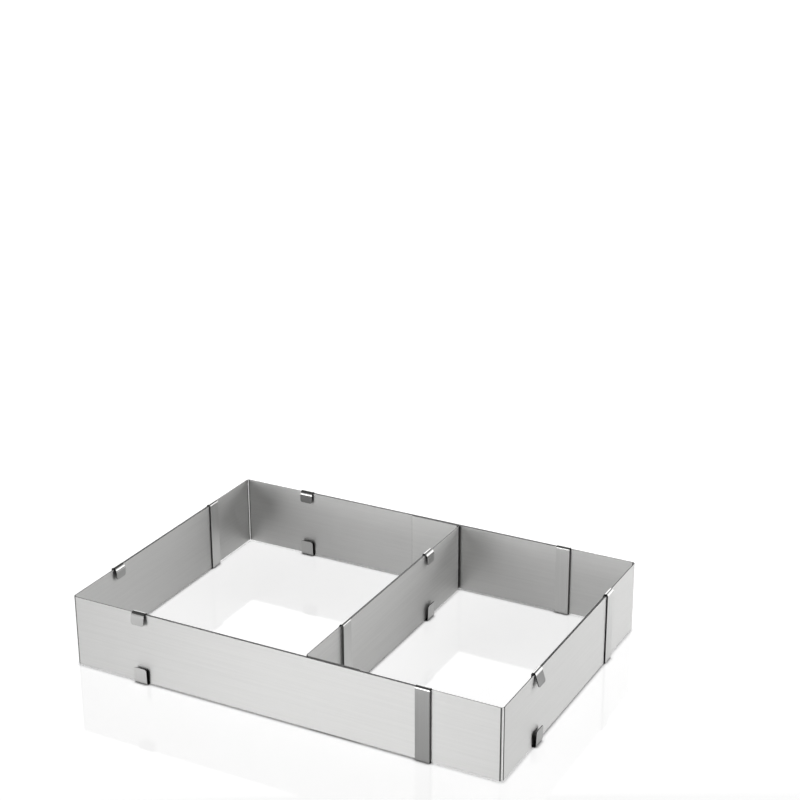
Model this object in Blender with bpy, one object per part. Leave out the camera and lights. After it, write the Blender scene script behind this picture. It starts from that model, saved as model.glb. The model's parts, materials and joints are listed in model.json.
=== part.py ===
# Adjustable cake frame of bent stainless steel strips, with a telescopic divider
#
# Four L-shaped corner strips overlap along all four walls. The free end of each leg carries a
# C-shaped strap, which is welded to its own strip and folds over the edges of the neighbouring
# one, so that the walls slide along each other. Two more L-shaped strips with the same straps
# make the divider. X runs along the length, Y from the front wall to the back wall, and Z is
# up. The origin is the middle of the footprint, on the surface that the frame stands on.

import math

import bmesh
import bpy
from mathutils import Vector

# Corner strips, each leg measured from the outer corner
LONG_LEG = 0.277
SHORT_LEG = 0.180
WALL_HEIGHT = 0.0525
SHEET = 0.0007
CORNER_RADIUS = 0.0022

# How far the walls are drawn out past the length of one leg
LENGTH_DRAWN_OUT = 0.051
WIDTH_DRAWN_OUT = 0.048

# Clearance between faces that slide or rest on each other
SLIDING_GAP = 0.0003

# Straps
STRAP_WIDTH = 0.0105
STRAP_SHEET = 0.0006
FOLD_RADIUS = 0.0005
TAB_LENGTH = 0.0104
TAB_TIP_RADIUS = 0.0022
UPPER_FLARE = math.radians(12.0)
LOWER_FLARE = math.radians(2.0)
LOWER_FOLD_RADIUS = 0.0012
LOWER_STAND_OFF = 0.0013

# Divider
DIVIDER_PLACE = 0.023
DIVIDER_FOOT = 0.040
DIVIDER_LEG = 0.178

# Segments in each rounded shape
CORNER_SEGMENTS = 8
FOLD_SEGMENTS = 4
TIP_SEGMENTS = 4

# Turns
QUARTER_TURN = math.radians(90.0)
HALF_TURN = math.radians(180.0)
SHARP_EDGE = math.radians(30.0)

# Stainless steel
STRIP_COLOUR = (0.62, 0.62, 0.61, 1.0)
STRIP_ROUGHNESS = 0.32
STRAP_COLOUR = (0.55, 0.55, 0.54, 1.0)
STRAP_ROUGHNESS = 0.38

# Sizes that follow from the ones above
SET_LENGTH = LONG_LEG + LENGTH_DRAWN_OUT
SET_WIDTH = SHORT_LEG + WIDTH_DRAWN_OUT
LAYER = SHEET + SLIDING_GAP
WALL_DEPTH = LAYER + SHEET
EDGE_HEIGHT = WALL_HEIGHT / 2
MIDDLE_HEIGHT = STRAP_SHEET + SLIDING_GAP + EDGE_HEIGHT


def arc(centre, radius, start, turn, segments):
    """Points along an arc, both ends included."""
    points = []
    for step in range(segments + 1):
        angle = start + turn * step / segments
        points.append(centre + radius * Vector((math.cos(angle), math.sin(angle))))
    return points


def solid_from(outline, depth):
    """Fill an outline and extrude it by the vector depth."""
    bm = bmesh.new()
    face = bm.faces.new([bm.verts.new(point) for point in outline])
    grown = bmesh.ops.extrude_face_region(bm, geom=[face])
    moved = [item for item in grown["geom"] if isinstance(item, bmesh.types.BMVert)]
    bmesh.ops.translate(bm, verts=moved, vec=depth)
    bmesh.ops.recalc_face_normals(bm, faces=bm.faces)
    return bm


def finish_mesh(bm, name):
    """Store the solid as a mesh with smooth bends and sharp sheet edges."""
    mesh = bpy.data.meshes.new(name)
    bm.to_mesh(mesh)
    bm.free()
    mesh.shade_smooth()
    mesh.set_sharp_from_angle(angle=SHARP_EDGE)
    return mesh


def strip_line(inset, first_leg, second_leg):
    """One face of a bent strip, seen from above, inset from its outer face."""
    centre = Vector((CORNER_RADIUS, CORNER_RADIUS))
    bend = arc(centre, CORNER_RADIUS - inset, -QUARTER_TURN, -QUARTER_TURN, CORNER_SEGMENTS)
    return [Vector((first_leg, inset))] + bend + [Vector((inset, second_leg))]


def strip_mesh(name, first_leg, second_leg):
    """An L-shaped strip with its outer corner at the origin and its legs along X and Y."""
    outer = strip_line(0.0, first_leg, second_leg)
    inner = strip_line(SHEET, first_leg, second_leg)
    outline = [Vector((point.x, point.y, -EDGE_HEIGHT)) for point in outer + inner[::-1]]
    return finish_mesh(solid_from(outline, Vector((0.0, 0.0, WALL_HEIGHT))), name)


def strap_half(inset, tab_radius, stand_off, flare):
    """One face of a strap's upper half, from the tab's tip to the band.

    The first coordinate runs from the band across both strips to the tab, from zero at the
    free face of the strap's own strip. The second is the height over the wall's middle. The
    face lies on the inside of the sheet, or outside it by the inset.
    """
    fold_height = EDGE_HEIGHT + SLIDING_GAP
    band_centre = Vector((FOLD_RADIUS - SLIDING_GAP, fold_height - FOLD_RADIUS))
    tab_centre = Vector((WALL_DEPTH + SLIDING_GAP + stand_off - tab_radius,
                         fold_height - tab_radius))
    tab_way = Vector((math.sin(flare), -math.cos(flare)))
    tab_fold = arc(tab_centre, tab_radius + inset, flare, QUARTER_TURN - flare, FOLD_SEGMENTS)
    band_fold = arc(band_centre, FOLD_RADIUS + inset, QUARTER_TURN, QUARTER_TURN, FOLD_SEGMENTS)
    return [tab_fold[0] + TAB_LENGTH * tab_way] + tab_fold + band_fold


def strap_line(inset):
    """One face of a strap's C, from the upper tab's tip to the lower tab's tip.

    The upper tab starts at the wall and flares, and the lower one stands off it all the way.
    """
    upper = strap_half(inset, FOLD_RADIUS, 0.0, UPPER_FLARE)
    lower = strap_half(inset, LOWER_FOLD_RADIUS, LOWER_STAND_OFF, LOWER_FLARE)
    return upper + [Vector((point.x, -point.y)) for point in reversed(lower)]


def is_tip_corner(edge):
    """Whether an edge crosses the sheet at a corner of a tab's tip."""
    a, b = (vert.co for vert in edge.verts)
    below_fold = EDGE_HEIGHT - TAB_LENGTH / 2
    at_tips = abs(a.z) < below_fold and abs(b.z) < below_fold
    return at_tips and a.x * b.x > 0.0 and a.z * b.z > 0.0


def strap_mesh(name):
    """A C-shaped strap round both strips, folded from sheet, with rounded tabs."""
    inner = strap_line(0.0)
    outer = strap_line(STRAP_SHEET)
    outline = [Vector((-STRAP_WIDTH / 2, point.x, point.y)) for point in inner + outer[::-1]]
    bm = solid_from(outline, Vector((STRAP_WIDTH, 0.0, 0.0)))
    tips = [edge for edge in bm.edges if is_tip_corner(edge)]
    bmesh.ops.bevel(bm, geom=tips, offset=TAB_TIP_RADIUS, segments=TIP_SEGMENTS,
                    profile=0.5, affect="EDGES")
    return finish_mesh(bm, name)


def add_pivot(name, location, rotation):
    """The outer corner of one strip, which its strip and straps are placed from."""
    pivot = bpy.data.objects.new(name, None)
    pivot.location = location
    pivot.rotation_euler = rotation
    bpy.context.scene.collection.objects.link(pivot)
    return pivot


def add_piece(name, mesh, pivot, location, rotation, colour, roughness):
    """Place one piece on its strip's pivot and give it its own steel."""
    piece = bpy.data.objects.new(name, mesh)
    piece.parent = pivot
    piece.location = location
    piece.rotation_euler = rotation
    bpy.context.scene.collection.objects.link(piece)
    material = bpy.data.materials.new(name)
    material.use_nodes = True
    shader = material.node_tree.nodes["Principled BSDF"]
    shader.inputs["Base Color"].default_value = colour
    shader.inputs["Metallic"].default_value = 1.0
    shader.inputs["Roughness"].default_value = roughness
    mesh.materials.append(material)


def add_strip(name, first_leg, second_leg, pivot):
    mesh = strip_mesh(name, first_leg, second_leg)
    no_change = (0.0, 0.0, 0.0)
    add_piece(name, mesh, pivot, no_change, no_change, STRIP_COLOUR, STRIP_ROUGHNESS)


def add_strap(name, pivot, location, turn, turned_over=False):
    """A strap with its band on the plane of its location, its flared tab on top."""
    rotation = (0.0, HALF_TURN if turned_over else 0.0, turn)
    add_piece(name, strap_mesh(name), pivot, location, rotation, STRAP_COLOUR, STRAP_ROUGHNESS)


def add_corner(name, location, rotation, long_strap, short_strap, long_outside):
    """A corner strip with a strap at each free end.

    One leg lies outside the wall it makes with its neighbour, and the other leg inside. The
    strap's band is on the leg's free face, so its tabs hold the neighbour from the other side.
    A strip whose long leg lies inside is turned upside down.
    """
    pivot = add_pivot(name + "_pivot", location, rotation)
    add_strip(name, LONG_LEG, SHORT_LEG, pivot)
    along_long = LONG_LEG - STRAP_WIDTH / 2
    along_short = SHORT_LEG - STRAP_WIDTH / 2
    if long_outside:
        add_strap(long_strap, pivot, (along_long, 0.0, 0.0), 0.0)
        add_strap(short_strap, pivot, (SHEET, along_short, 0.0), QUARTER_TURN)
    else:
        add_strap(long_strap, pivot, (along_long, SHEET, 0.0), HALF_TURN, True)
        add_strap(short_strap, pivot, (0.0, along_short, 0.0), -QUARTER_TURN, True)


def add_divider_half(name, location, rotation, strap):
    """A divider strip, its foot against a wall and its strap round the other half."""
    pivot = add_pivot(name + "_pivot", location, rotation)
    add_strip(name, DIVIDER_FOOT, DIVIDER_LEG, pivot)
    add_strap(strap, pivot, (0.0, DIVIDER_LEG - STRAP_WIDTH / 2, 0.0), -QUARTER_TURN)


for old in list(bpy.data.objects):
    bpy.data.objects.remove(old, do_unlink=True)

side = SET_LENGTH / 2
end = SET_WIDTH / 2

# Two corners stand as they are bent, and the two between them are turned upside down.
add_corner("corner_front_left", (LAYER - side, -end, MIDDLE_HEIGHT), (0.0, 0.0, 0.0),
           "strap_front_outer", "strap_left_inner", True)
add_corner("corner_front_right", (side, LAYER - end, MIDDLE_HEIGHT), (0.0, HALF_TURN, 0.0),
           "strap_front_inner", "strap_right_outer", False)
add_corner("corner_back_right", (side - LAYER, end, MIDDLE_HEIGHT), (0.0, 0.0, HALF_TURN),
           "strap_back_outer", "strap_right_inner", True)
add_corner("corner_back_left", (-side, end - LAYER, MIDDLE_HEIGHT), (HALF_TURN, 0.0, 0.0),
           "strap_back_inner", "strap_left_outer", False)

# The divider's halves lie face to face, and each foot lies on the inside of a wall.
half_pair = SHEET + SLIDING_GAP / 2
foot_place = end - WALL_DEPTH - SLIDING_GAP
add_divider_half("divider_front", (DIVIDER_PLACE - half_pair, -foot_place, MIDDLE_HEIGHT),
                 (0.0, 0.0, 0.0), "divider_strap_front")
add_divider_half("divider_back", (DIVIDER_PLACE + half_pair, foot_place, MIDDLE_HEIGHT),
                 (0.0, 0.0, HALF_TURN), "divider_strap_back")

for piece in bpy.data.objects:
    if piece.type == "MESH":
        print(piece.name, len(piece.data.polygons), "faces")
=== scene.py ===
# %% [markdown]
# # An adjustable cake frame in brushed stainless steel
#
# The object is a bottomless box of thin sheet. Four L-shaped strips overlap along the walls, and
# a C-shaped strap at the free end of each leg folds over the neighbouring strip and holds it.
# A divider made in the same way stands between the front and back walls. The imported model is
# loaded first, because every new piece has to sit exactly where it says.

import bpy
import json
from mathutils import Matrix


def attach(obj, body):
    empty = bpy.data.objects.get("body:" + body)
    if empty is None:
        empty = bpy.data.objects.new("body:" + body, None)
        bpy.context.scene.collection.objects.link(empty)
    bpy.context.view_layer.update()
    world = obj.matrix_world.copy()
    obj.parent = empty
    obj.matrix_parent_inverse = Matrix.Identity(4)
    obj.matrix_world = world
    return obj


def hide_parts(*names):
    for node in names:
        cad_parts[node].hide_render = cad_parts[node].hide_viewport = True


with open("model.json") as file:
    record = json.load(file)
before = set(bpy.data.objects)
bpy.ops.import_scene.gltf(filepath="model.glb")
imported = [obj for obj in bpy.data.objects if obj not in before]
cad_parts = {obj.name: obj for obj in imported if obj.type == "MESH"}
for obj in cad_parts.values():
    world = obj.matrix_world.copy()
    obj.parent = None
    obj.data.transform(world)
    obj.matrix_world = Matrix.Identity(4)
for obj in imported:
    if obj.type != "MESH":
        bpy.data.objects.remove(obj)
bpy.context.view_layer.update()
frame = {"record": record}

# %% Tools for the whole lesson
import json
import math

import bmesh
import bpy
from mathutils import Matrix, Vector

MM = 0.001
QUARTER_TURN = math.radians(90.0)
HALF_TURN = math.radians(180.0)
print("lengths are in metres, and angles in radians: a quarter turn is", round(QUARTER_TURN, 4))

# %% [markdown]
# The camera stands in front, to the right and above, as in the photograph. Its place was found
# by fitting the frame's corners to the picture, and it looks along three axes that are worked
# out from an azimuth, an elevation and a very small roll. A long lens keeps the walls nearly
# parallel, as a product photographer would choose.

# %% Camera
AZIMUTH = math.radians(27.92)
ELEVATION = math.radians(21.10)
ROLL = math.radians(-0.22)
FOCAL_PIXELS = 1817.3
PICTURE_PIXELS = 800.0
SENSOR = 36.0
FARTHEST_SEEN = 60.0
CAMERA_PLACE = Vector((563.2, -1000.5, 631.2)) * MM

back = Vector((math.sin(AZIMUTH) * math.cos(ELEVATION),
               -math.cos(AZIMUTH) * math.cos(ELEVATION),
               math.sin(ELEVATION)))
level = Vector((math.cos(AZIMUTH), math.sin(AZIMUTH), 0.0))
rise = back.cross(level)
right = math.cos(ROLL) * level + math.sin(ROLL) * rise
up = math.cos(ROLL) * rise - math.sin(ROLL) * level

camera_data = bpy.data.cameras.new("camera")
camera_data.sensor_width = SENSOR
camera_data.lens = FOCAL_PIXELS * SENSOR / PICTURE_PIXELS
camera_data.clip_end = FARTHEST_SEEN
camera = bpy.data.objects.new("camera", camera_data)
bpy.context.scene.collection.objects.link(camera)
turn = Matrix((right, up, back)).transposed()
camera.matrix_world = Matrix.Translation(CAMERA_PLACE) @ turn.to_4x4()
bpy.context.scene.camera = camera
print("lens", round(camera_data.lens, 1), "mm")

# %% [markdown]
# ## Steel
# Steel has no colour of its own to speak of: what shows is the room, blurred by the grain of the
# sheet. A material is a tree of nodes, and a few helpers make the trees below short to write.
# All patterns are noise on Object coordinates, in lines per metre, so a streak has the same size
# on every piece. Noise that is squeezed along one axis and not along the others turns into grain.

# %% Helpers for materials
NOISE_ROUGHNESS = 0.6


def add_node(tree, kind, **settings):
    """Add one shader node and set its properties and input values."""
    node = tree.nodes.new(kind)
    for key, value in settings.items():
        if key in node.inputs:
            node.inputs[key].default_value = value
        else:
            setattr(node, key, value)
    return node


def new_material(name, metallic=0.0):
    """An empty material, with its node tree and its shader."""
    material = bpy.data.materials.new(name)
    material.use_nodes = True
    shader = material.node_tree.nodes["Principled BSDF"]
    shader.inputs["Metallic"].default_value = metallic
    return material, material.node_tree, shader


def grey_colour(grey, warmth=1.0):
    """A grey, which a warmth under one turns a little away from blue."""
    return (grey, grey, grey * warmth, 1.0)


def remap(tree, value, lowest, highest, first, last):
    """Map lowest..highest of a value to first..last."""
    node = add_node(tree, "ShaderNodeMapRange")
    for key, number in (("From Min", lowest), ("From Max", highest),
                        ("To Min", first), ("To Max", last)):
        node.inputs[key].default_value = number
    tree.links.new(value, node.inputs["Value"])
    return node.outputs["Result"]


def combine(tree, operation, first, second):
    """One number from two, by the named operation of a Math node."""
    node = add_node(tree, "ShaderNodeMath", operation=operation)
    tree.links.new(first, node.inputs[0])
    tree.links.new(second, node.inputs[1])
    return node.outputs["Value"]


def stretched_noise(tree, scale, detail):
    """Noise on Object coordinates, scaled along X, Y and Z by its own numbers per metre."""
    place = add_node(tree, "ShaderNodeTexCoord")
    mapping = add_node(tree, "ShaderNodeMapping", Scale=scale)
    noise = add_node(tree, "ShaderNodeTexNoise", Scale=1.0, Detail=detail,
                     Roughness=NOISE_ROUGHNESS)
    tree.links.new(place.outputs["Object"], mapping.inputs["Vector"])
    tree.links.new(mapping.outputs["Vector"], noise.inputs["Vector"])
    return noise.outputs["Fac"]


print("a middle grey is", grey_colour(0.5))

# %% [markdown]
# Two thin dark lines of painted shade run along each bend, one near each end of its turn. A line
# that is painted by its place in space would be in the wrong spot as soon as the strip is turned
# over.
# So each strip will carry a number of its own: nought on the first leg, one on the second, and
# what lies between across the bend. The material reads that number.

# %% Painted shade lines beside a bend
BEND_ATTRIBUTE = "across_bend"
BEND_MIDDLE = 0.5
SHADE_LINE_PLACE = 0.35
# The flats lie half a bend from its middle, so a wider line would darken them as well.
SHADE_LINE_WIDTH = BEND_MIDDLE - SHADE_LINE_PLACE
# A depth over one gives each line a core that is fully dark.
SHADE_LINE_DEPTH = 2.0
SHADE_LINE_GREY = 0.05


def shade_lines_beside_bend(tree):
    """One along the two painted shade lines beside a bend, and nought elsewhere."""
    across = add_node(tree, "ShaderNodeAttribute", attribute_name=BEND_ATTRIBUTE)
    value = across.outputs["Fac"]
    for offset in (BEND_MIDDLE, SHADE_LINE_PLACE):
        away = add_node(tree, "ShaderNodeMath", operation="SUBTRACT")
        away.inputs[1].default_value = offset
        size = add_node(tree, "ShaderNodeMath", operation="ABSOLUTE")
        tree.links.new(value, away.inputs[0])
        tree.links.new(away.outputs["Value"], size.inputs[0])
        value = size.outputs["Value"]
    return remap(tree, value, 0.0, SHADE_LINE_WIDTH, SHADE_LINE_DEPTH, 0.0)


# The press line printed here is a painted shade line beside the bend.
print("each press line fades out within", round(SHADE_LINE_WIDTH, 2), "of the bend's turn")

# %% [markdown]
# A brushed sheet is covered in fine scratches that all run one way, and a scratch spreads light
# across itself, not along itself. The walls' grain is level, so it draws every reflection out up
# and down. Anisotropic roughness does this, with its tangent turned a quarter. The straps are cut
# with their grain upright and are rubbed in the press, so they get less of that stretch, and the
# smooth crown of a fold gets none. Two sizes of noise add the streaks that the eye sees: a fine
# one for close views, and a broader one that still shows from across a table.

# %% A brushed steel
UP_AND_DOWN = 0.25
WARMTH = 0.99
# Noise runs from nought to one, but nearly all of it lies in this range.
NOISE_RANGE = (0.3, 0.7)
SCRATCH_DETAIL = 3.0
STREAK_DETAIL = 2.0
SCRATCH_SHADE = (-0.5, 0.5)
STREAK_SHADE = (0.0, 1.0)
DARK_STREAK = 0.965
LIGHT_STREAK = 1.035
STREAK_ROUGHNESS = 0.03
SCRATCH_STRENGTH = 0.3
SCRATCH_DEPTH = 0.01 * MM


def brushed_steel(name, scratch_scale, streak_scale, grey, roughness, stretch, painted_bend_lines=False):
    """Sheet steel with two sizes of streak, each in lines per metre along X, Y and Z."""
    material, tree, shader = new_material(name, metallic=1.0)
    shader.inputs["Anisotropic"].default_value = stretch
    shader.inputs["Anisotropic Rotation"].default_value = UP_AND_DOWN

    scratches = stretched_noise(tree, scratch_scale, SCRATCH_DETAIL)
    streaks = stretched_noise(tree, streak_scale, STREAK_DETAIL)
    shade = combine(tree, "ADD", remap(tree, scratches, *NOISE_RANGE, *SCRATCH_SHADE),
                    remap(tree, streaks, *NOISE_RANGE, *STREAK_SHADE))
    colour = add_node(tree, "ShaderNodeMix", data_type="RGBA")
    colour.inputs["A"].default_value = grey_colour(grey * DARK_STREAK, WARMTH)
    colour.inputs["B"].default_value = grey_colour(grey * LIGHT_STREAK, WARMTH)
    tree.links.new(shade, colour.inputs["Factor"])
    finish = colour.outputs["Result"]
    # Darken the two painted shade lines beside the bend.
    if painted_bend_lines:
        lines = add_node(tree, "ShaderNodeMix", data_type="RGBA")
        lines.inputs["B"].default_value = grey_colour(SHADE_LINE_GREY)
        tree.links.new(shade_lines_beside_bend(tree), lines.inputs["Factor"])
        tree.links.new(finish, lines.inputs["A"])
        finish = lines.outputs["Result"]
    tree.links.new(finish, shader.inputs["Base Color"])

    gloss = remap(tree, shade, 0.0, 1.0, roughness - STREAK_ROUGHNESS,
                  roughness + STREAK_ROUGHNESS)
    tree.links.new(gloss, shader.inputs["Roughness"])
    bump = add_node(tree, "ShaderNodeBump", Strength=SCRATCH_STRENGTH, Distance=SCRATCH_DEPTH)
    tree.links.new(scratches, bump.inputs["Height"])
    tree.links.new(bump.outputs["Normal"], shader.inputs["Normal"])

    tangent = add_node(tree, "ShaderNodeTangent", direction_type="RADIAL", axis="Z")
    tree.links.new(tangent.outputs["Tangent"], shader.inputs["Tangent"])
    return material


# %% The brushed steels of this frame
# Lines per metre along the grain and across it, of the scratches and of the broad streaks
ALONG = 25.0
ACROSS = 2600.0
BROAD_ALONG = 12.0
BROAD_ACROSS = 520.0
LEVEL_GRAIN = ((ALONG, ALONG, ACROSS), (BROAD_ALONG, BROAD_ALONG, BROAD_ACROSS))
UPRIGHT_GRAIN = ((ACROSS, ACROSS, ALONG), (BROAD_ACROSS, BROAD_ACROSS, BROAD_ALONG))
PERCENT = 0.01

wall_steel = brushed_steel("wall_steel", *LEVEL_GRAIN, grey=0.54, roughness=0.45,
                           stretch=0.9, painted_bend_lines=True)
# The divider's grey is set lighter than the walls': painted light for how bright its faces show.
divider_steel = brushed_steel("divider_steel", *LEVEL_GRAIN, grey=0.69, roughness=0.72,
                              stretch=0.5)
fold_steel = brushed_steel("fold_steel", *UPRIGHT_GRAIN, grey=0.60, roughness=0.16,
                           stretch=0.0)


def strap_steel(grey):
    """The steel of a strap's band or tab, made once for each grey in percent."""
    # Each grey is painted light and shade: the same steel, set lighter or darker for its light.
    name = "strap_steel_%d" % grey
    if name in bpy.data.materials:
        return bpy.data.materials[name]
    return brushed_steel(name, *UPRIGHT_GRAIN, grey=grey * PERCENT, roughness=0.42,
                         stretch=0.4)


for steel in (wall_steel, divider_steel, fold_steel):
    print(steel.name, "has", len(steel.node_tree.nodes), "nodes")

# %% [markdown]
# Three duller finishes belong to the same sheet, and nobody has brushed them. Where a press has
# sheared it, the edge is torn and duller, and its near black is also painted shade for the rims
# and gaps, so it draws a thin dark line round every strip. The divider's edges are sheared too,
# but catch more light, so theirs is a paler grey. The inside of a folded strap is never polished,
# and its near black is painted shade for the narrow pocket behind a tab, which swallows the light.

# %% Sheared edges, partly painted shade, and the painted shade inside the folds
MOTTLE_DETAIL = 2.0
DARK_MOTTLE = 0.8
LIGHT_MOTTLE = 1.2
MOTTLE_ROUGHNESS = 0.05


def dull_steel(name, grey, roughness, grain):
    """Steel that nobody has brushed, with a fine mottle of so many grains per metre."""
    material, tree, shader = new_material(name, metallic=1.0)
    mottle = stretched_noise(tree, (grain, grain, grain), MOTTLE_DETAIL)
    shade = add_node(tree, "ShaderNodeMix", data_type="RGBA")
    shade.inputs["A"].default_value = grey_colour(grey * DARK_MOTTLE)
    shade.inputs["B"].default_value = grey_colour(grey * LIGHT_MOTTLE)
    tree.links.new(mottle, shade.inputs["Factor"])
    tree.links.new(shade.outputs["Result"], shader.inputs["Base Color"])
    gloss = remap(tree, mottle, *NOISE_RANGE, roughness - MOTTLE_ROUGHNESS,
                  roughness + MOTTLE_ROUGHNESS)
    tree.links.new(gloss, shader.inputs["Roughness"])
    return material


# The sheared edge is duller steel, and its near black is also painted shade.
sheared_edge_and_shade = dull_steel("sheared_edge_and_shade", grey=0.07, roughness=0.45, grain=1800.0)
divider_edge = dull_steel("divider_edge", grey=0.18, roughness=0.45, grain=1800.0)
# The fold's inside is painted near black: painted shade for the pocket behind a tab.
fold_inside_painted_shade = dull_steel("fold_inside_painted_shade", grey=0.012, roughness=0.6, grain=900.0)
print("dull finishes", sheared_edge_and_shade.name, divider_edge.name, fold_inside_painted_shade.name)

# %% [markdown]
# ## Sizes
# Every strip is modelled where its own outer corner is the origin, with one leg along X and the
# other along Y, because the same shape is used in four places. These are the sizes of the
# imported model, written again in millimetres.

# %% Sizes of the strips and straps
LONG_LEG = 277.0 * MM
SHORT_LEG = 180.0 * MM
WALL_HEIGHT = 52.5 * MM
SHEET = 0.7 * MM
CORNER_RADIUS = 2.2 * MM
GAP = 0.3 * MM
SET_LENGTH = 328.0 * MM
SET_WIDTH = 228.0 * MM

STRAP_WIDTH = 10.5 * MM
STRAP_SHEET = 0.6 * MM
FOLD_RADIUS = 0.5 * MM
LOWER_FOLD_RADIUS = 1.2 * MM
LOWER_STAND_OFF = 1.3 * MM
TAB_LENGTH = 10.4 * MM
TAB_TIP_RADIUS = 1.8 * MM

DIVIDER_PLACE = 23.0 * MM
DIVIDER_FOOT = 40.0 * MM
DIVIDER_LEG = 178.0 * MM

EDGE_HEIGHT = WALL_HEIGHT / 2
WALL_DEPTH = 2 * SHEET + GAP
MIDDLE_HEIGHT = STRAP_SHEET + GAP + EDGE_HEIGHT
print("two strips and their gap are", round(WALL_DEPTH / MM, 2), "mm thick")

# %% [markdown]
# Shapes are made in edit mode, as by hand. Faces and edges are picked by where they are or which
# way they face, and never by their number, because a number changes with every operator.

# %% Helpers for work in edit mode
FACING = 0.5


def start_edit(piece, kind):
    """Open one piece in edit mode, with nothing selected in it."""
    bpy.ops.object.select_all(action="DESELECT")
    piece.select_set(True)
    bpy.context.view_layer.objects.active = piece
    bpy.ops.object.mode_set(mode="EDIT")
    bpy.ops.mesh.select_mode(type=kind)
    bpy.ops.mesh.select_all(action="DESELECT")


def end_edit():
    bpy.ops.object.mode_set(mode="OBJECT")


def pick_faces(piece, wanted):
    """Select the faces for which wanted(middle, normal) is true."""
    mesh = bmesh.from_edit_mesh(piece.data)
    for face in mesh.faces:
        face.select_set(bool(wanted(face.calc_center_median(), face.normal)))
    bmesh.update_edit_mesh(piece.data)


def pick_edges(piece, wanted):
    """Select the edges for which wanted(one end, other end) is true."""
    mesh = bmesh.from_edit_mesh(piece.data)
    for edge in mesh.edges:
        edge.select_set(bool(wanted(edge.verts[0].co, edge.verts[1].co)))
    bmesh.update_edit_mesh(piece.data)


def new_block(name, lowest, highest):
    """A cube stretched between two corners, with its scale applied."""
    lowest, highest = Vector(lowest), Vector(highest)
    bpy.ops.object.select_all(action="DESELECT")
    bpy.ops.mesh.primitive_cube_add(size=1.0, location=(lowest + highest) / 2,
                                    scale=highest - lowest)
    block = bpy.context.object
    block.name = name
    bpy.ops.object.transform_apply(location=True, rotation=True, scale=True)
    return block


print("a face faces a way when it is within", round(math.degrees(math.acos(FACING))), "degrees")

# %% Round off the sharp edges
SMOOTH_BELOW = math.radians(20.0)
ROUNDING_STEPS = 2


def soften(piece, width, sharper_than):
    """Round the edges that turn by more than an angle with a bevel modifier, and apply it.

    Only the shallow steps of a bend are shaded smooth. If the flat faces were smoothed into the
    bevels, their normals would tilt, and a flat mirror-like wall would look curved.
    """
    bevel = piece.modifiers.new("rounded edges", "BEVEL")
    bevel.width = width
    bevel.segments = ROUNDING_STEPS
    bevel.limit_method = "ANGLE"
    bevel.angle_limit = sharper_than
    bpy.ops.object.select_all(action="DESELECT")
    piece.select_set(True)
    bpy.context.view_layer.objects.active = piece
    bpy.ops.object.modifier_apply(modifier=bevel.name)
    bpy.ops.object.shade_smooth_by_angle(angle=SMOOTH_BELOW)
    print(piece.name, "has", len(piece.data.polygons), "faces")


# %% [markdown]
# ## A corner strip
# The real strip is cut from a coil and bent once in a press brake. The lesson does the same: a
# flat block is the first leg, its end face is spun a quarter turn round the bend's centre, and
# the new end face is drawn out into the second leg. A boolean of two boxes would have a knife
# edge where the real strip has a soft bend that catches the light.

# %% Bend one strip
CORNER_STEPS = 12
EDGE_ROUNDING = 0.2 * MM
STRIP_EDGE_TURN = math.radians(60.0)


def bent_strip(name, first_leg, second_leg):
    """An L-shaped strip with its outer corner at the origin and its legs along X and Y."""
    strip = new_block(name, (CORNER_RADIUS, 0.0, -EDGE_HEIGHT), (first_leg, SHEET, EDGE_HEIGHT))
    start_edit(strip, "FACE")
    pick_faces(strip, lambda middle, normal: normal.x < -FACING)
    bpy.ops.mesh.spin(steps=CORNER_STEPS, angle=QUARTER_TURN, axis=(0.0, 0.0, 1.0),
                      center=(CORNER_RADIUS, CORNER_RADIUS, 0.0))
    draw_out = (0.0, second_leg - CORNER_RADIUS, 0.0)
    bpy.ops.mesh.extrude_region_move(TRANSFORM_OT_translate={"value": draw_out})
    end_edit()
    soften(strip, EDGE_ROUNDING, STRIP_EDGE_TURN)
    return strip


corner_shape = bent_strip("corner_shape", LONG_LEG, SHORT_LEG)
divider_shape = bent_strip("divider_shape", DIVIDER_FOOT, DIVIDER_LEG)

# %% [markdown]
# A strip now gets the number across its bend that the painted shade lines are drawn from, and its
# finishes: brushed on its faces, and sheared along its rims and ends. The divider's bend is
# painted
# as dark as a sheared edge: painted shade for the dark upright where it meets the back wall.

# %% Finishes of a strip
# How far a normal has to lean, as a share of its length, for a face of the rim or of the bend
RIM_TILT = 0.4
BEND_TILT = 0.05
BRUSHED, CUT_EDGE_AND_SHADE, PAINTED_BEND_SHADE = range(3)


def number_across_bend(strip):
    """Store nought on the first leg, one on the second, and what lies between on the bend."""
    across = strip.data.attributes.new(BEND_ATTRIBUTE, "FLOAT", "POINT")
    for vertex in strip.data.vertices:
        over_x = CORNER_RADIUS - vertex.co.x
        over_y = CORNER_RADIUS - vertex.co.y
        turned = math.atan2(max(over_x, 0.0), max(over_y, 0.0)) if over_x > 0.0 else 0.0
        across.data[vertex.index].value = turned / QUARTER_TURN


def finish_strip(strip, first_leg, second_leg, steel, edge, paint_bend_shade):
    """Give every face of a strip the finish of its part."""
    for finish in (steel, edge, sheared_edge_and_shade):
        strip.data.materials.append(finish)
    first_end = first_leg - EDGE_ROUNDING / 2
    second_end = second_leg - EDGE_ROUNDING / 2
    for face in strip.data.polygons:
        on_rim = abs(face.normal.z) > RIM_TILT
        in_bend = min(abs(face.normal.x), abs(face.normal.y)) > BEND_TILT
        # Rims and ends take the sheared steel, whose near black is partly painted shade.
        if on_rim or face.center.x > first_end or face.center.y > second_end:
            face.material_index = CUT_EDGE_AND_SHADE
        # The divider's bend is painted near black: painted shade for the groove at the back wall.
        elif paint_bend_shade and in_bend:
            face.material_index = PAINTED_BEND_SHADE
        else:
            face.material_index = BRUSHED


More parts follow.
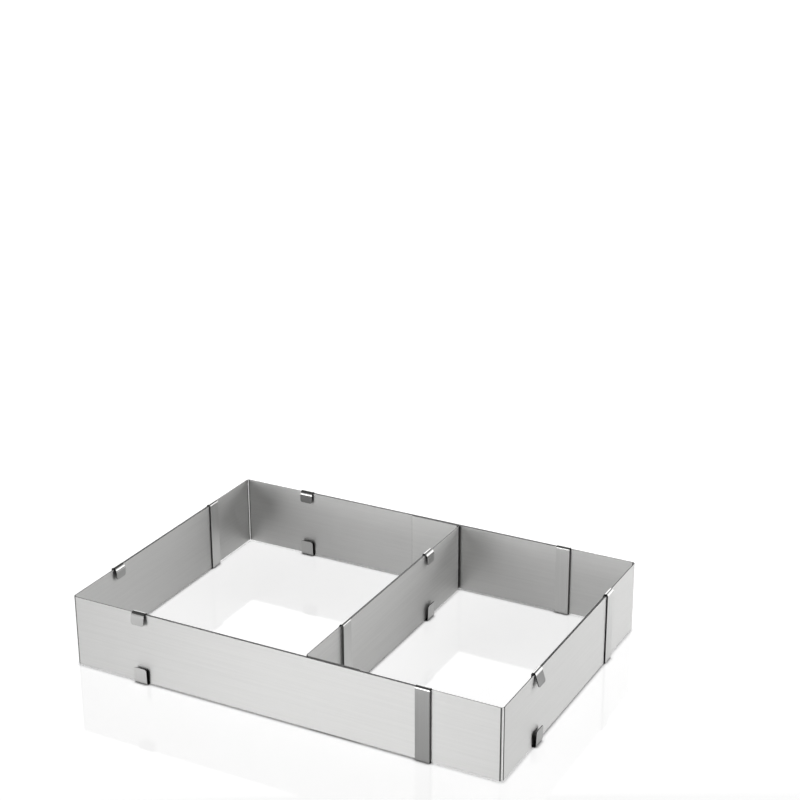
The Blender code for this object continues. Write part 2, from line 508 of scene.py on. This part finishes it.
for shape in (corner_shape, divider_shape):
    number_across_bend(shape)
finish_strip(corner_shape, LONG_LEG, SHORT_LEG, wall_steel, sheared_edge_and_shade, paint_bend_shade=False)
finish_strip(divider_shape, DIVIDER_FOOT, DIVIDER_LEG, divider_steel, divider_edge,
             paint_bend_shade=True)
print("strips finished in", corner_shape.data.materials[0].name, "and",
      divider_shape.data.materials[0].name)

# %% [markdown]
# ## A strap
# A strap starts as a flat blank, full height and 10.5 mm wide. Its ends are folded over the edges
# of both strips and pressed down on the far side. The upper fold is one round arch, a single
# spin, and it matters more than its size suggests: low on its shoulder it mirrors the bright
# front and higher up the dark ceiling, so it shows as a white and a black stripe. The arch ends a
# little early, so the tab kicks away from the wall. A short second spin turns it from that kick
# to its flare, and it runs on straight. The press never kicks two tabs alike, so each one that
# the picture shows has its own two angles, and the hidden ones share a middling pair. The lower
# fold is tighter at the band and wider at the tab, which stands off the wall all the way.

# %% Fold the upper end of a strap
ARCH_STEPS = 16
BEND_STEPS = 5
ARCH_RADIUS = WALL_DEPTH / 2 + GAP
ARCH_LEVEL = EDGE_HEIGHT + GAP - ARCH_RADIUS
UPPER_TAB_LENGTH = 9.6 * MM
KICK_LENGTH = 3.2 * MM
AROUND_X = (1.0, 0.0, 0.0)


def arch_over(strap, kick, flare):
    """Fold the upper end over both strips, kick the tab outwards and turn it to its flare."""
    pick_faces(strap, lambda middle, normal: normal.z > FACING)
    centre = Vector((0.0, WALL_DEPTH / 2, ARCH_LEVEL))
    bpy.ops.mesh.spin(steps=ARCH_STEPS, angle=HALF_TURN - kick, axis=AROUND_X, center=centre)
    outward = Vector((0.0, math.cos(kick), math.sin(kick)))
    bend = flare - kick
    kick_centre = centre + outward * (ARCH_RADIUS + KICK_LENGTH / bend)
    bpy.ops.mesh.spin(steps=BEND_STEPS, angle=-bend, axis=AROUND_X, center=kick_centre)
    rest = UPPER_TAB_LENGTH + FOLD_RADIUS - ARCH_RADIUS - KICK_LENGTH
    down = (0.0, rest * math.sin(flare), -rest * math.cos(flare))
    bpy.ops.mesh.extrude_region_move(TRANSFORM_OT_translate={"value": down})


print("the arch has a radius of", round(ARCH_RADIUS / MM, 2), "mm")

# %% Fold the lower end of a strap
LOWER_FLARE = math.radians(2.0)


def hook_under(strap):
    """Fold the lower end under both strips, and turn its tab up clear of the far side."""
    pick_faces(strap, lambda middle, normal: middle.y < 0.0 and middle.z < 0.0
               and normal.z < -FACING)
    depth = EDGE_HEIGHT + GAP
    bpy.ops.mesh.spin(steps=BEND_STEPS, angle=-QUARTER_TURN, axis=AROUND_X,
                      center=(0.0, FOLD_RADIUS - GAP, FOLD_RADIUS - depth))
    tab_middle = WALL_DEPTH + GAP + LOWER_STAND_OFF - LOWER_FOLD_RADIUS
    flat = (0.0, tab_middle - (FOLD_RADIUS - GAP), 0.0)
    bpy.ops.mesh.extrude_region_move(TRANSFORM_OT_translate={"value": flat})
    bpy.ops.mesh.spin(steps=BEND_STEPS, angle=LOWER_FLARE - QUARTER_TURN, axis=AROUND_X,
                      center=(0.0, tab_middle, LOWER_FOLD_RADIUS - depth))
    upright = (0.0, TAB_LENGTH * math.sin(LOWER_FLARE), TAB_LENGTH * math.cos(LOWER_FLARE))
    bpy.ops.mesh.extrude_region_move(TRANSFORM_OT_translate={"value": upright})


print("the lower tab stands off the wall by", round(LOWER_STAND_OFF / MM, 2), "mm")

# %% Fold one whole strap
TIP_STEPS = 6
BELOW_FOLD = EDGE_HEIGHT - TAB_LENGTH / 2
STRAP_ROUNDING = 0.13 * MM
STRAP_EDGE_TURN = math.radians(50.0)


def round_tips(strap):
    """Round the free corners of both tabs."""
    bpy.ops.mesh.select_mode(type="EDGE")
    bpy.ops.mesh.select_all(action="DESELECT")
    pick_edges(strap, lambda a, b: max(abs(a.z), abs(b.z)) < BELOW_FOLD
               and a.x * b.x > 0.0 and a.z * b.z > 0.0)
    bpy.ops.mesh.bevel(offset=TAB_TIP_RADIUS, offset_type="OFFSET", segments=TIP_STEPS,
                       affect="EDGES")


def folded_strap(name, kick, flare):
    """A C-shaped strap round both strips, with its own strip's free face on the XZ plane."""
    lowest = (-STRAP_WIDTH / 2, -GAP - STRAP_SHEET, FOLD_RADIUS - EDGE_HEIGHT - GAP)
    strap = new_block(name, lowest, (STRAP_WIDTH / 2, -GAP, ARCH_LEVEL))
    start_edit(strap, "FACE")
    arch_over(strap, math.radians(kick), math.radians(flare))
    hook_under(strap)
    round_tips(strap)
    end_edit()
    soften(strap, STRAP_ROUNDING, STRAP_EDGE_TURN)
    return strap


# %% [markdown]
# A strap has five finishes, because a fold changes the steel. The band and the lower tab keep
# their brushing, and the band's cut edges and the tips of the tabs are sheared, with a near black
# that is also painted shade. The upper fold is stretched until it is nearly smooth, on some straps
# a little way down the tab too. The rest of the upper tab takes its own grey, painted lighter or
# darker for the light that falls on it. Inside a fold and on the cut sides of a tab the steel is
# painted nearly black: painted shade for the pocket behind the tab.

# %% Finishes of a strap
SQUARELY = 0.9
TIP_SHARE = 0.6
BAND, SHEARED_AND_SHADE, PAINTED_INSIDE_SHADE, POLISHED, PAINTED_TAB_TONE = range(5)


def is_inside(face):
    """Whether a face of the strap looks towards the strips that it holds."""
    inward = Vector((0.0, WALL_DEPTH / 2 - face.center.y, 0.0))
    if abs(face.center.z) > ARCH_LEVEL:
        inward.z = math.copysign(ARCH_LEVEL, face.center.z) - face.center.z
    return abs(face.normal.x) < FACING and face.normal.dot(inward.normalized()) > FACING


def finish_strap(strap, band_grey, tab_grey, polished):
    """Give every face of a strap the finish of its part."""
    for steel in (strap_steel(band_grey), sheared_edge_and_shade, fold_inside_painted_shade, fold_steel,
                  strap_steel(tab_grey)):
        strap.data.materials.append(steel)
    tip_level = EDGE_HEIGHT - TIP_SHARE * TAB_LENGTH
    for face in strap.data.polygons:
        on_tab_side = face.center.y > WALL_DEPTH / 2
        at_tip = abs(face.center.z) < tip_level and on_tab_side
        at_side = abs(face.normal.x) > SQUARELY
        polished_down_to = ARCH_LEVEL - (polished * MM if on_tab_side else 0.0)
        # Faces towards the strips and the tab's cut sides take the painted shade of the pocket.
        if is_inside(face) or (at_side and on_tab_side):
            face.material_index = PAINTED_INSIDE_SHADE
        # The band's cut sides and the tab tips take the sheared steel, partly painted shade.
        elif at_side or (at_tip and abs(face.normal.y) < FACING):
            face.material_index = SHEARED_AND_SHADE
        elif face.center.z > polished_down_to:
            face.material_index = POLISHED
        # The rest of the upper tab takes its painted grey of light and shade.
        elif on_tab_side and face.center.z > 0.0:
            face.material_index = PAINTED_TAB_TONE
        else:
            face.material_index = BAND


print("the slots of a strap run from", BAND, "to", PAINTED_TAB_TONE)

# %% [markdown]
# ## Put the strips and straps in place
# Two corners stand as they are bent, and the two between them are turned upside down, which
# swaps the outer and the inner leg. So each wall has one strip outside and one inside. A strap's
# band lies on the free face of its own strip, at the end of the leg, and its tabs hold the
# neighbour from the other side.

# %% Copy, place and ride
BODY_OF = {node: body for body, nodes in frame["record"]["behaviour"]["bodies"].items()
           for node in nodes}


def put(shape, node, place):
    """Copy a shape into its place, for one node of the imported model."""
    piece = bpy.data.objects.new(node + "_steel", shape.data.copy())
    bpy.context.scene.collection.objects.link(piece)
    piece.data.transform(place)
    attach(piece, BODY_OF[node])
    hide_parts(node)


def placed(location, angle, axis):
    return Matrix.Translation(location) @ Matrix.Rotation(angle, 4, axis)


print("nodes to replace", len(BODY_OF))

# %% [markdown]
# Each strap is folded where it is needed, from its own line of a table. The greys are painted
# light
# and shade: each band and tab mirrors another part of the room, and its grey is set lighter or
# darker for how bright it shows there.

# %% Put one strap on a strip
# For each strap: how far its upper tab kicks out and then flares, in degrees, the greys of its
# band and tab, in percent, painted lighter or darker for light and shade, and how far down from
# the fold the tab is polished, in millimetres
STRAPS = {
    "strap_front_outer": (30.0, 5.0, 29, 40, 0.0),
    "strap_front_inner": (62.0, 8.0, 52, 28, 0.0),
    "strap_left_outer": (60.0, 2.0, 46, 33, 1.5),
    "strap_left_inner": (30.0, 5.0, 50, 42, 0.0),
    "strap_back_outer": (60.0, 3.0, 38, 20, 1.5),
    "strap_back_inner": (30.0, 5.0, 47, 42, 0.0),
    "strap_right_inner": (11.0, 18.0, 38, 20, 0.0),
    "strap_right_outer": (30.0, 5.0, 56, 42, 0.0),
    "divider_strap_front": (58.0, 1.0, 44, 50, 1.5),
    "divider_strap_back": (30.0, 5.0, 52, 42, 0.0)}


def put_strap(node, strip_place, location, angle, turned_over):
    """Fold a strap on a strip. One that sits on a turned strip is turned back upright."""
    place = strip_place @ placed((location[0], location[1], 0.0), angle, "Z")
    if turned_over:
        place = place @ Matrix.Rotation(HALF_TURN, 4, "Y")
    kick, flare, *finish = STRAPS[node]
    shape = folded_strap(node + "_shape", kick, flare)
    finish_strap(shape, *finish)
    put(shape, node, place)
    bpy.data.objects.remove(shape, do_unlink=True)


print("straps in the table", len(STRAPS))


# %% Put the four corners, each with its two straps
def put_corner(node, place, long_strap, short_strap, long_outside):
    """A corner strip with a strap at the end of each leg."""
    put(corner_shape, node, place)
    along_long = LONG_LEG - STRAP_WIDTH / 2
    along_short = SHORT_LEG - STRAP_WIDTH / 2
    if long_outside:
        put_strap(long_strap, place, (along_long, 0.0), 0.0, False)
        put_strap(short_strap, place, (SHEET, along_short), QUARTER_TURN, False)
    else:
        put_strap(long_strap, place, (along_long, SHEET), HALF_TURN, True)
        put_strap(short_strap, place, (0.0, along_short), -QUARTER_TURN, True)


side = SET_LENGTH / 2
end = SET_WIDTH / 2
layer = SHEET + GAP
put_corner("corner_front_left", placed((layer - side, -end, MIDDLE_HEIGHT), 0.0, "Z"),
           "strap_front_outer", "strap_left_inner", True)
put_corner("corner_front_right", placed((side, layer - end, MIDDLE_HEIGHT), HALF_TURN, "Y"),
           "strap_front_inner", "strap_right_outer", False)
put_corner("corner_back_right", placed((side - layer, end, MIDDLE_HEIGHT), HALF_TURN, "Z"),
           "strap_back_outer", "strap_right_inner", True)
put_corner("corner_back_left", placed((-side, end - layer, MIDDLE_HEIGHT), HALF_TURN, "X"),
           "strap_back_inner", "strap_left_outer", False)

# %% [markdown]
# The divider's halves lie face to face with a gap between them, and each foot lies on the inside
# of a wall. The second half is the first one turned half a turn.

# %% Put the divider
half_pair = SHEET + GAP / 2
foot_place = end - WALL_DEPTH - GAP


def put_divider(node, place, strap):
    """One half of the divider with the strap at the end of its long leg."""
    put(divider_shape, node, place)
    put_strap(strap, place, (0.0, DIVIDER_LEG - STRAP_WIDTH / 2), -QUARTER_TURN, False)


put_divider("divider_front",
            placed((DIVIDER_PLACE - half_pair, -foot_place, MIDDLE_HEIGHT), 0.0, "Z"),
            "divider_strap_front")
put_divider("divider_back",
            placed((DIVIDER_PLACE + half_pair, foot_place, MIDDLE_HEIGHT), HALF_TURN, "Z"),
            "divider_strap_back")

for shape in (corner_shape, divider_shape):
    bpy.data.objects.remove(shape, do_unlink=True)

# %% [markdown]
# ## Table
# The frame was photographed on a glossy white table. The table keeps a little of the shadow and
# a faint mirror image of the walls. It lifts itself to white for the camera and for the metal
# that mirrors it, so that no extra light has to fall on the steel, and it lifts itself fully
# where it is far away and the lamps no longer reach it. Right under the walls both the lift and
# the mirror image die away. Ambient occlusion finds those places, however the frame is set, and
# they show as the thin contact shade that seats it on the table.

# %% Table top
FLOOR_SIZE = 16.0
FLOOR_LEVEL = -0.05 * MM
FLOOR_GREY = 0.42
FLOOR_ROUGHNESS = 0.04
TABLE_IOR = 1.70
FLOOR_LIFT = 0.75
LIFT_STARTS = 0.45
LIFT_ENDS = 1.20
MIRROR_LEVEL = 0.5
CONTACT_REACH = 2.6 * MM
CONTACT_RAYS = 4
CONTACT_DARK = 0.45
CONTACT_OPEN = 0.9


def shown_rays(tree):
    """One for camera, glossy and transmission rays, and nought for the rest."""
    path = add_node(tree, "ShaderNodeLightPath")
    total = path.outputs["Is Camera Ray"]
    for other in ("Is Glossy Ray", "Is Transmission Ray"):
        total = combine(tree, "MAXIMUM", total, path.outputs[other])
    return total


def open_places(tree):
    """Nought right under the walls, and one where nothing is near."""
    contact = add_node(tree, "ShaderNodeAmbientOcclusion", Distance=CONTACT_REACH,
                       samples=CONTACT_RAYS)
    return remap(tree, contact.outputs["AO"], CONTACT_DARK, CONTACT_OPEN, 0.0, 1.0)


def lift_by_distance(tree):
    """The table's own light, which grows to full white far away."""
    place = add_node(tree, "ShaderNodeTexCoord")
    distance = add_node(tree, "ShaderNodeVectorMath", operation="LENGTH")
    tree.links.new(place.outputs["Object"], distance.inputs[0])
    return remap(tree, distance.outputs["Value"], LIFT_STARTS, LIFT_ENDS, FLOOR_LIFT, 1.0)


floor_material, floor_tree, floor_shader = new_material("white_table")
floor_shader.inputs["Base Color"].default_value = grey_colour(FLOOR_GREY)
floor_shader.inputs["Roughness"].default_value = FLOOR_ROUGHNESS
floor_shader.inputs["IOR"].default_value = TABLE_IOR
floor_shader.inputs["Emission Color"].default_value = grey_colour(1.0)

in_the_open = open_places(floor_tree)
floor_tree.links.new(remap(floor_tree, in_the_open, 0.0, 1.0, 0.0, MIRROR_LEVEL),
                     floor_shader.inputs["Specular IOR Level"])
lift = combine(floor_tree, "MULTIPLY", shown_rays(floor_tree), lift_by_distance(floor_tree))
lift = combine(floor_tree, "MULTIPLY", lift, in_the_open)
floor_tree.links.new(lift, floor_shader.inputs["Emission Strength"])

bpy.ops.object.select_all(action="DESELECT")
bpy.ops.mesh.primitive_plane_add(size=FLOOR_SIZE, location=(0.0, 0.0, FLOOR_LEVEL))
floor = bpy.context.object
floor.name = "table_top"
floor.data.materials.append(floor_material)
print("table top", FLOOR_SIZE, "m wide, with", len(floor_tree.nodes), "nodes")

# %% [markdown]
# ## Light
# The room is white round the horizon and dark overhead. That is what gives a folded strap its
# stripes: low on its shoulder it mirrors the bright front, higher up the dark ceiling, and along
# its top the white behind. The lamps stand low, because the outer walls are then bright while the
# inner ones, which see the lamps only over the rim, stay a middle grey.

# %% The room
HORIZON_WHITE = 1.0
CEILING_GREY = 0.09
WHITE_UP_TO = math.radians(22.0)
GREY_FROM = math.radians(37.0)

world = bpy.data.worlds.new("studio")
world.use_nodes = True
world_tree = world.node_tree
room = world_tree.nodes["Background"]
room.inputs["Color"].default_value = grey_colour(1.0)
direction = add_node(world_tree, "ShaderNodeTexCoord")
parts = add_node(world_tree, "ShaderNodeSeparateXYZ")
world_tree.links.new(direction.outputs["Generated"], parts.inputs["Vector"])
strength = remap(world_tree, parts.outputs["Z"], math.sin(WHITE_UP_TO), math.sin(GREY_FROM),
                 HORIZON_WHITE, CEILING_GREY)
world_tree.links.new(strength, room.inputs["Strength"])
bpy.context.scene.world = world
print("the room is white up to", round(math.degrees(WHITE_UP_TO)), "degrees")

# %% Softboxes
LAMP_RANGE = 2.2
# For each lamp: its first and last azimuth, its lowest and highest edge, and its radiance
SOFTBOXES = {
    "softbox_front_low_left": (236.0, 258.0, 0.0, 6.0, 5.9),
    "softbox_front_low": (258.0, 281.0, 0.0, 6.0, 3.0),
    "softbox_front": (213.0, 281.0, 6.0, 18.0, 1.6),
    "softbox_back_right": (30.0, 78.0, 0.0, 25.0, 0.95),
    "softbox_front_right": (326.0, 349.0, 6.0, 30.0, 5.6),
    "softbox_back": (96.0, 142.0, 4.0, 36.0, 1.0)}


def softbox(name, first_azimuth, last_azimuth, lowest, highest, radiance):
    """A lamp that fills a part of the room as seen from the frame, with angles in degrees."""
    azimuth = math.radians((first_azimuth + last_azimuth) / 2)
    elevation = math.radians((lowest + highest) / 2)
    way = Vector((math.cos(azimuth) * math.cos(elevation),
                  math.sin(azimuth) * math.cos(elevation), math.sin(elevation)))
    lamp = bpy.data.lights.new(name, "AREA")
    lamp.shape = "RECTANGLE"
    half_width = math.radians(last_azimuth - first_azimuth) / 2
    lamp.size = 2 * LAMP_RANGE * math.cos(elevation) * math.tan(half_width)
    lamp.size_y = 2 * LAMP_RANGE * math.tan(math.radians(highest - lowest) / 2)
    lamp.energy = math.pi * lamp.size * lamp.size_y * radiance
    holder = bpy.data.objects.new(name, lamp)
    bpy.context.scene.collection.objects.link(holder)
    holder.location = way * LAMP_RANGE
    holder.rotation_euler = way.to_track_quat("Z", "Y").to_euler()
    print(name, round(lamp.energy, 1), "W")


for name, reach_and_radiance in SOFTBOXES.items():
    softbox(name, *reach_and_radiance)

# %% [markdown]
# A photographer hangs black cards between the lamps, because steel that mirrors nothing but
# white looks like paper. Two of them stand on this table, out of the camera's sight. They fade
# out towards their sides and top, since a straight edge would show as a step in the table's
# mirror image.

# %% Black of the cards
CARD_GREY = 0.02
CARD_ROUGHNESS = 0.9
CARD_EDGE = 0.5
CARD_SOLID_TO = 0.22

card_black, card_tree, card_shader = new_material("card_black")
card_shader.inputs["Base Color"].default_value = grey_colour(CARD_GREY)
card_shader.inputs["Roughness"].default_value = CARD_ROUGHNESS
card_place = add_node(card_tree, "ShaderNodeTexCoord")
card_parts = add_node(card_tree, "ShaderNodeSeparateXYZ")
card_tree.links.new(card_place.outputs["Object"], card_parts.inputs["Vector"])
from_middle = add_node(card_tree, "ShaderNodeMath", operation="ABSOLUTE")
card_tree.links.new(card_parts.outputs["X"], from_middle.inputs[0])
sideways = remap(card_tree, from_middle.outputs["Value"], CARD_EDGE, CARD_SOLID_TO, 0.0, 1.0)
upwards = remap(card_tree, card_parts.outputs["Y"], CARD_EDGE, CARD_SOLID_TO, 0.0, 1.0)
card_tree.links.new(combine(card_tree, "MULTIPLY", sideways, upwards),
                    card_shader.inputs["Alpha"])
print("a card is solid over", round(CARD_SOLID_TO / CARD_EDGE, 2), "of its half width")

# %% Cards
CARD_RANGE = 2.0


def dark_card(name, first_azimuth, last_azimuth, height):
    """A black card that stands on the table between two lamps, out of the camera's sight."""
    azimuth = math.radians((first_azimuth + last_azimuth) / 2)
    half_width = CARD_RANGE * math.tan(math.radians(last_azimuth - first_azimuth) / 2)
    middle = (CARD_RANGE * math.cos(azimuth), CARD_RANGE * math.sin(azimuth), height / 2)
    bpy.ops.object.select_all(action="DESELECT")
    bpy.ops.mesh.primitive_plane_add(size=1.0, location=middle,
                                     rotation=(QUARTER_TURN, 0.0, azimuth + QUARTER_TURN))
    card = bpy.context.object
    card.name = name
    card.scale = (2 * half_width, height, 1.0)
    card.data.materials.append(card_black)
    card.visible_camera = False
    print(name, round(2 * half_width, 2), "m wide")


dark_card("dark_card_camera_side", 284.0, 306.0, height=1.6)
dark_card("dark_card_right", 2.0, 26.0, height=1.2)

# %% [markdown]
# The view transform is Standard, so a colour shows about as it is written. The new pieces have to
# be as large as the imported model that they dress, and only the flare of a tab may make a
# difference of a few tenths of a millimetre.

# %% Finish
bpy.context.scene.view_settings.view_transform = "Standard"
